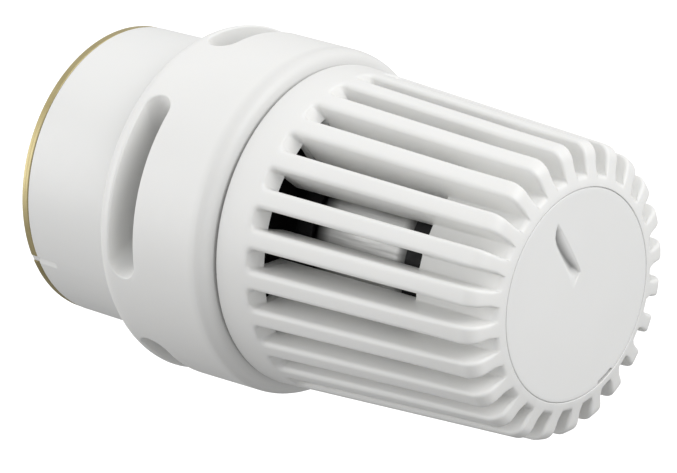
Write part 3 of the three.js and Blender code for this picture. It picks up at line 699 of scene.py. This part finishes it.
def rib_rows():
    """The corners from the rib's crest over its rounded edge, and the foot, along the groove's path."""
    rows = []
    for x, a, out_x, out_a, tx, ta, foot in groove_path():
        skin_r = wheel_radius(x)
        narrowed = min(max((x - RIBS["narrow_from"]) / RIBS["narrow_over"], 0), 1)
        edge = mix(RIBS["edge"], RIBS["nose_edge"], narrowed)
        groove_depth = skin_r - along_outline(FLOOR_SKIN, x)
        edge = min(edge, 0.45 * groove_depth)
        if x < RIBS["wall_rear"]:
            edge = mix(RIBS["rear_edge"], RIBS["edge"], out_a)
        degree = math.degrees(1 / skin_r)
        normal = wheel_normal(x) if x > RIBS["wall_rear"] else Vector((0, 1))
        row = []
        for part in (0, 0.5, 1):
            here_x = mix(tx, x + out_x * edge, part)
            row.append((here_x, wheel_radius(here_x), mix(ta, a + out_a * edge * degree, part)))
        for turn in even(0, math.pi / 2, 5)[1:]:
            off = edge * (1 - math.sin(turn))
            drop = edge * (1 - math.cos(turn))
            row.append((
                x + out_x * off - normal.x * drop, skin_r - normal.y * drop, a + out_a * off * degree,
            ))
        rows.append((row, foot))
    return rows


# Across a groove's floor: angle, and rise towards the ribs' walls.
FLOOR = [(-3.75, 0.3), (-3.44, 0.088), (-2.7, 0.0), (0, 0.0), (2.7, 0.0), (3.44, 0.088), (3.75, 0.3)]
FLOOR_RISE = FLOOR[0][1]


def floor_point(x, a, rise):
    """The point that lies rise above the groove's floor, or on the ribs' crests if that is lower."""
    return (x, min(wheel_radius(x), along_outline(FLOOR_SKIN, x) + rise), a)


def wheel_cell(skin, centre):
    """One groove and the two rib halves beside it."""

    def turned_by(rows, side):
        return [[(x, r, centre + side * a) for x, r, a in row] for row in rows]

    bore, fin, half = WHEEL["ring_bore"], WHEEL["fin"], RIBS["half"]
    window = RIBS["window_front"]
    groove, fin_rear = RIBS["groove_rear"], WHEEL["fin_rear"]
    rows = rib_rows()
    ramp = [row + [(x, bore, a)] for row, (x, a) in rows if x == RIBS["ramp_front"]]
    wall = []
    for row, (x, a) in rows[len(ramp) - 1:]:
        top = row[-1][1]
        foot = floor_point(x, a, FLOOR_RISE)
        waist = bore if x == RIBS["ramp_front"] else mix(top, foot[1], 0.5)
        waist_x = x if x < RIBS["wall_rear"] else mix(row[-1][0], x, 0.5)
        wall.append(row + [(waist_x, waist, a), foot])
    fins = [(row[-1][0], row[-1][2]) for row in wall if row[-1][0] <= window]
    across = (half, mix(half, CELL, 0.5), CELL)
    under = [[(groove, bore, a) for a in across], [(fin_rear, fin, a) for a in across]]
    under += [[(x, fin, a) for a in across] for x, _ in fins]
    fin_end = [[(window, r, a) for r in (fin, WHEEL["mouth"])] for a in across]
    edge = [row[-1] for row in ramp]
    joins = [(WHEEL["join"], bore, a) for a in join_angles()]
    step = [(groove, bore, a) for a in across]
    # The faces between the plain ring's front edge and the foot of the groove's ramp.
    bridges = [
        (joins[0], joins[1], edge[1], edge[0]),
        (joins[1], joins[2], edge[3], edge[2], edge[1]),
        (joins[2], joins[3], step[0], *edge[:2:-1]),
        (joins[3], joins[4], step[1], step[0]),
        (joins[4], joins[5], step[2], step[1]),
    ]
    # The face that closes the side of a rib's inner part at its rear end.
    heel = [(RIBS["ramp_front"], fin, half), (fin_rear, fin, half)]
    fin_heel = (step[0], edge[-1], wall[0][-1], *heel)
    for side in (1, -1):
        for grid in (ramp, wall, under, fin_end):
            skin.rows(turned_by(grid, side))
        skin.rows(turned_by([[row[-1], (x, fin, a)] for row, (x, a) in zip(wall, fins)], side))
        for corners in (*bridges, fin_heel):
            skin.face(*turned_by([corners], side)[0])
    covered = [row[-1][0] for row in wall if row[-1][0] >= window]
    skin.rows(turned_by([[floor_point(x, a, rise) for a, rise in FLOOR] for x in covered], 1))
    window_wall = [[floor_point(window, a, rise), (window, fin, a), (window, WHEEL["mouth"], a)]
                   for a, rise in FLOOR]
    skin.rows(turned_by(window_wall, 1))


def join_angles():
    """Angles from a groove's middle at which the ribbed part meets the plain ring behind it."""
    return sorted({ta for _, _, _, _, tx, ta, _ in groove_path() if tx == WHEEL["join"]})


def handwheel():
    """The ribbed wheel: cells of groove and rib halves, the ring behind them and the cup in the nose."""
    skin = Skin()
    half_ring = join_angles()
    ring_angles = [-a for a in half_ring[:0:-1]] + half_ring
    ring = rounded([
        (WHEEL["join"], WHEEL["ring_bore"]),
        (WHEEL["cage_front"], WHEEL["ring_bore"], 0.15),
        (WHEEL["cage_front"], WHEEL["cage_r"], 0.15),
        (WHEEL["rear"], WHEEL["cage_r"], 0.25),
        (WHEEL["rear"], WHEEL["rear_r"], 0.35),
        (WHEEL["join"], wheel_radius(WHEEL["join"])),
    ], closed=False)
    mouth = WHEEL["mouth"]
    cup = rounded([
        (RIBS["window_front"], mouth),
        (HUB["rear"], mouth, 0.3),
        (HUB["rear"], HUB["bore"], 0.2),
        (HUB["front"], HUB["bore"], 0.2),
        (HUB["front"], CAP_SEAT["r"], 0.2),
        (CAP_SEAT["groove_rear"], CAP_SEAT["r"]),
        (CAP_SEAT["groove_rear"], CAP_SEAT["groove_r"]),
        (CAP_SEAT["groove_front"], CAP_SEAT["groove_r"]),
        (CAP_SEAT["groove_front"], CAP_SEAT["r"]),
        (CAP_SEAT["front"], CAP_SEAT["r"], 0.1),
        (CAP_SEAT["front"], mouth, 0.1),
        (*on_cone(mouth), 0.1),
        NOSE,
    ], closed=False)
    rib_middle = mix(RIBS["half"], CELL, 0.5)
    nose_angles = [-CELL, -rib_middle, *[a for a, _ in FLOOR], rib_middle, CELL]
    for i in range(RIBS["count"]):
        centre = RIBS["first"] + 360 / RIBS["count"] * (i + 0.5)
        wheel_cell(skin, centre)
        skin.turn(ring, [centre + a for a in ring_angles], closed=False)
        skin.turn(cup, [centre + a for a in nose_angles], closed=False)
    lug = rounded([
        (LUG["rear"], LUG["low_r"], 0.2), (LUG["rear"], LUG["high_r"]),
        (LUG["front"], LUG["high_r"]), (LUG["front"], LUG["low_r"], 0.2),
    ])
    lug_angles = even(LUG["from"], LUG["to"], 6)
    skin.turn(lug, lug_angles)
    for a in (lug_angles[0], lug_angles[-1]):
        skin.face(*[(x, r, a) for x, r in lug])
    skin.piece("ribbed_handwheel", "wheel", "handwheel", white_wheel, sharp=60)


handwheel()


# ---------------------------------------------------------------- end cap

CAP = {
    "r": 14.76, "edge": 82.85, "crown": 83.25, "ledge": 82.63, "ledge_width": 0.1, "rear": 80.7,
    "skirt_r": 13.85, "skirt_rear": 79.6, "skirt_wall": 1, "back": 81.6,
}
# The sunk pointer: its angle, its ends' distances from the cap's centre, its depth, how far in from each
# end it is full depth, and the angle to either side that holds it.
POINTER = {
    "a": 20.2, "tip": 12.1, "tail": 1.8, "deep": 0.66, "tip_run": 1.3, "tail_run": 2.6, "reach": 52,
}
# Across the pointer at distances from the cap's centre: left edge, crease, right edge.
POINTER_LINES = [
    (1.8, -0.75, -0.7, -0.65),
    (2.4, -0.85, 0.2, 0.35),
    (3.0, -0.9, 1.25, 1.45),
    (3.7, -0.95, 0.95, 1.45),
    (4.7, -1.05, 0.4, 1.3),
    (6.1, -1.28, -0.15, 1.1),
    (7.6, -1.5, -0.58, 0.85),
    (9.1, -1.66, -0.86, 0.55),
    (10.3, -1.5, -0.75, 0.26),
    (11.3, -0.9, -0.45, 0.03),
    (12.1, -0.12, -0.12, -0.12),
]
# The thin slot in the cap's rim, for prying it out.
PRY = {"low": 198.0, "high": 212.0, "r": 14.35, "ease": 0.1}


def pointer_depth(up, across):
    """Depth of the sunk pointer at a place on the cap, in the pointer's own directions."""
    if not POINTER["tail"] < up < POINTER["tip"]:
        return 0.0
    for low, high in zip(POINTER_LINES, POINTER_LINES[1:]):
        if low[0] <= up <= high[0]:
            part = (up - low[0]) / (high[0] - low[0])
            left, deep, right = (mix(low[i], high[i], part) for i in (1, 2, 3))
            break
    if not left < across < right:
        return 0.0
    wall = (across - left) / max(deep - left, 1e-6)
    ramp = (right - across) / max(right - deep, 1e-6)
    from_tip = (POINTER["tip"] - up) / POINTER["tip_run"]
    from_tail = (up - POINTER["tail"]) / POINTER["tail_run"]
    return POINTER["deep"] * min(wall, ramp) * min(from_tip, from_tail, 1.0)


def cap_height(r, a):
    """Station of the cap's face at radius r and angle a: a low dome with the pointer sunk into it."""
    dome = CAP["crown"] - (CAP["crown"] - CAP["edge"]) * (r / CAP["r"]) ** 2
    up = r * math.cos(math.radians(a - POINTER["a"]))
    across = -r * math.sin(math.radians(a - POINTER["a"]))
    return dome - pointer_depth(up, across)


def cap_section(a):
    """The cap's section at angle a, from the middle of its face over the rim and round the back."""
    fine_from, fine_to, face_r = 1.2, 12.1, 14.2
    radii = [*even(0, fine_from, 3), *even(fine_from, fine_to, 92)[1:], *even(fine_to, face_r, 5)[1:]]
    rim_r = PRY["r"] if PRY["low"] < a < PRY["high"] else CAP["r"]
    ledge_r = rim_r + CAP["ledge_width"]
    skirt_bore = CAP["skirt_r"] - CAP["skirt_wall"]
    rest = rounded([
        (CAP["edge"] + 0.03, radii[-1]),
        (CAP["edge"], rim_r, 0.1),
        (CAP["ledge"], rim_r, 0.03),
        (CAP["ledge"], ledge_r, 0.03),
        (CAP["rear"], ledge_r, 0.05),
        (CAP["rear"], CAP["skirt_r"], 0.15),
        (CAP["skirt_rear"], CAP["skirt_r"], 0.2),
        (CAP["skirt_rear"], skirt_bore, 0.2),
        (CAP["back"], skirt_bore, 0.3),
        (CAP["back"], 0),
    ], closed=False)[1:]
    return [(cap_height(r, a), r, a) for r in radii] + [(x, r, a) for x, r in rest]


def end_cap():
    """The cap in the nose. Its sections lie closest together where the pointer and the slot are."""
    skin = Skin()
    reach = POINTER["reach"]
    fine = even(POINTER["a"] - reach, POINTER["a"] + reach, 170)
    slot = [*even(PRY["low"], PRY["high"], 12), PRY["low"] - PRY["ease"], PRY["high"] + PRY["ease"]]
    angles = {a % 360 for a in [*fine, *slot]}
    for a in round_angles(120)[:-1]:
        near_pointer = abs((a - POINTER["a"] + 180) % 360 - 180) < reach
        near_slot = PRY["low"] - 1 < a < PRY["high"] + 1
        if not near_pointer and not near_slot:
            angles.add(a)
    angles = sorted(angles)
    skin.rows([cap_section(a) for a in [*angles, angles[0] + 360]])
    skin.piece("nose_cap", "wheel", "end_cap", white_cap, sharp=40)


end_cap()


# ---------------------------------------------------------------- parts inside

CAN = {
    "rear": 47.35, "front": 64.4, "r": 13.7, "bore": 13.1, "inner_front": 63.8,
    "dimple": 63.9, "dimple_r": 4.4, "dimple_edge": 5, "dimple_back": 63.3, "dimple_back_r": 4.6,
}
HOLDER = {
    "r": 14.6, "bore": 13.8, "rear": 44.7, "window_rear": 47.6, "window_front": 64.3, "front": 68,
    "web": 66.3, "bar_a": 155.7, "bar_half": 13.0, "overlap": 0.3, "sunk": 0.05,
}
# The stem's bore ends tip_steps before its front.
STEM = {"rear": 67.8, "front": 78.8, "bore": 5.6, "starts": 3, "lead": 6.0, "steps": 60, "tip_steps": 8}
# One start of the stem's screw: the part of its share of the turn, and the radius there.
STEM_LOBE = [
    (0.06, 7.1), (0.25, 7.1), (0.42, 7.1), (0.5, 7.5), (0.56, 7.95), (0.7, 8), (0.84, 8), (0.96, 7.6),
]


def sensor_shell():
    """The sensor's drawn can, open at its rear, with a dimple in its front."""
    outline = rounded([
        (CAN["rear"], CAN["bore"]),
        (CAN["rear"], CAN["r"], 0.5),
        (CAN["front"], CAN["r"], 2.2),
        (CAN["front"], CAN["dimple_edge"], 0.3),
        (CAN["dimple"], CAN["dimple_r"], 0.3),
        (CAN["dimple"], 0),
        (CAN["dimple_back"], 0),
        (CAN["dimple_back"], CAN["dimple_back_r"], 0.2),
        (CAN["inner_front"], 4.9),
        (CAN["inner_front"], CAN["bore"], 1.7),
        (CAN["rear"], CAN["bore"]),
    ], closed=False)
    skin = Skin()
    skin.turn(outline, round_angles(128), closed=False)
    skin.piece("sensor_shell", "carrier", "sensor_can", sensor_metal)


def holder_rings(skin):
    """The two rings that hold the sensor's ends, and the two bars between them."""
    r, bore = HOLDER["r"], HOLDER["bore"]
    rear = rounded([
        (HOLDER["rear"], bore, 0.15),
        (HOLDER["rear"], r, 0.3),
        (HOLDER["window_rear"], r, 0.15),
        (HOLDER["window_rear"], bore, 0.15),
    ])
    front = rounded([
        (HOLDER["window_front"], bore, 0.15),
        (HOLDER["window_front"], r, 0.15),
        (HOLDER["front"], r, 0.3),
        (HOLDER["front"], STEM["bore"]),
        (HOLDER["web"], STEM["bore"]),
        (HOLDER["web"], bore, 0.3),
    ])
    skin.turn(rear, round_angles(128))
    skin.turn(front, round_angles(128))
    ends = (HOLDER["window_rear"] - HOLDER["overlap"], HOLDER["window_front"] + HOLDER["overlap"])
    low, high = bore + HOLDER["sunk"], r - HOLDER["sunk"]
    strip = [(ends[0], low), (ends[0], high), (ends[1], high), (ends[1], low)]
    for turn in (0, 180):
        middle = HOLDER["bar_a"] + turn
        angles = even(middle - HOLDER["bar_half"], middle + HOLDER["bar_half"], 10)
        skin.turn(strip, angles)
        for a in (angles[0], angles[-1]):
            skin.face(*[(x, radius, a) for x, radius in strip])


def screw_stem(skin):
    """The hollow stem in front with its three-start screw."""
    share = 360 / STEM["starts"]
    outline = [
        (radius, (start + part) * share)
        for start in range(STEM["starts"]) for part, radius in STEM_LOBE
    ]
    outline.append(outline[0])
    stations = even(STEM["rear"], STEM["front"], STEM["steps"])
    bore_stations = stations[:-STEM["tip_steps"]]
    outside = [[(x, radius, a - 360 * x / STEM["lead"]) for radius, a in outline] for x in stations]
    inside = [[(x, STEM["bore"], a - 360 * x / STEM["lead"]) for _, a in outline] for x in bore_stations]
    skin.rows(outside)
    skin.rows(inside)
    skin.rows([outside[0], inside[0]])
    for last in (outside[-1], inside[-1]):
        skin.rows([last, [(x, 0, a) for x, _, a in last]])


def sensor_carrier():
    """Black shell round the sensor's two ends, with the screw stem in front."""
    skin = Skin()
    holder_rings(skin)
    screw_stem(skin)
    skin.piece("sensor_holder", "carrier", "sensor_carrier", black, sharp=40)


sensor_shell()
sensor_carrier()


# ---------------------------------------------------------------- finishes of the CAD nodes that stay

CAD_LOOKS = {
    "black_plastic": black,
    "natural_plastic": natural,
    "plated_steel": plated,
    "spring_steel": spring_steel,
    "sensor_metal": sensor_metal,
    "brass": brass,
    "rubber": rubber_black,
    "white_plastic": white_base,
}

for subpart in frame["record"]["subparts"]:
    node = frame["nodes"][subpart["node"]]
    for slot in node.material_slots:
        slot.material = CAD_LOOKS[subpart["material_slot"]]


# ---------------------------------------------------------------- stage, lights and camera

FLOOR_SHEET = {"half": 4.0, "height": -0.16}
SKY = {"below": 0.2, "level": 0.67, "above": 0.775}
LIT_POINT = Vector((0.04, 0, 0))
CAMERA = {"location": (0.6255, -0.6684, 0.3002), "azimuth": 41.2, "elevation": 18.74, "lens": 361.6}


def floor():
    """A pale floor that glows a little and casts no light or reflection on the object."""
    look = Look("pale_floor", (0.93, 0.93, 0.93), 0.9)
    look.vary_colour(look.noise(3, 2), (0.92, 0.92, 0.92))
    look.shader.inputs["Emission Color"].default_value = (1, 1, 1, 1)
    look.shader.inputs["Emission Strength"].default_value = 0.4
    half = FLOOR_SHEET["half"]
    z = FLOOR_SHEET["height"]
    mesh = bpy.data.meshes.new("floor")
    corners = [(-half, -half, z), (half, -half, z), (half, half, z), (-half, half, z)]
    mesh.from_pydata(corners, [], [(0, 1, 2, 3)])
    mesh.materials.append(look.material)
    obj = bpy.data.objects.new("floor", mesh)
    obj.visible_diffuse = False
    obj.visible_glossy = False
    bpy.context.scene.collection.objects.link(obj)


def sky():
    """Soft light from all round, brightest overhead and dim from below."""
    world = bpy.data.worlds.new("studio")
    world.use_nodes = True
    nodes, links = world.node_tree.nodes, world.node_tree.links
    coordinates = nodes.new("ShaderNodeTexCoord")
    split = nodes.new("ShaderNodeSeparateXYZ")
    ramp = nodes.new("ShaderNodeValToRGB")
    span = nodes.new("ShaderNodeMapRange")
    span.inputs["From Min"].default_value = -1
    links.new(coordinates.outputs["Generated"], split.inputs["Vector"])
    links.new(split.outputs["Z"], span.inputs["Value"])
    links.new(span.outputs["Result"], ramp.inputs["Fac"])
    links.new(ramp.outputs["Color"], nodes["Background"].inputs["Color"])
    ramp.color_ramp.elements.new(0.5)
    for element, value in zip(ramp.color_ramp.elements, (SKY["below"], SKY["level"], SKY["above"])):
        element.color = (value, value, value, 1)
    bpy.context.scene.world = world
    bpy.context.scene.view_settings.view_transform = "Standard"


def soft_light(name, location, size, watts):
    data = bpy.data.lights.new(name, "AREA")
    data.shape = "DISK"
    data.size = size
    data.energy = watts
    obj = bpy.data.objects.new(name, data)
    obj.location = location
    obj.rotation_mode = "QUATERNION"
    obj.rotation_quaternion = (LIT_POINT - Vector(location)).to_track_quat("-Z", "Y")
    bpy.context.scene.collection.objects.link(obj)


def camera():
    data = bpy.data.cameras.new("camera")
    data.sensor_width = 36
    data.lens = CAMERA["lens"]
    data.clip_start = 0.05
    data.clip_end = 20
    obj = bpy.data.objects.new("camera", data)
    azimuth = math.radians(CAMERA["azimuth"])
    elevation = math.radians(CAMERA["elevation"])
    back = Vector((
        math.sin(azimuth) * math.cos(elevation),
        -math.cos(azimuth) * math.cos(elevation),
        math.sin(elevation),
    ))
    obj.location = CAMERA["location"]
    obj.rotation_mode = "QUATERNION"
    obj.rotation_quaternion = (-back).to_track_quat("-Z", "Y")
    bpy.context.scene.collection.objects.link(obj)
    bpy.context.scene.camera = obj


floor()
camera()
soft_light("key", (0.8, 0.1, 0.7), 0.8, 4.9)
soft_light("fill", (-0.75, -0.6, 0.1), 0.8, 3.6)
sky()
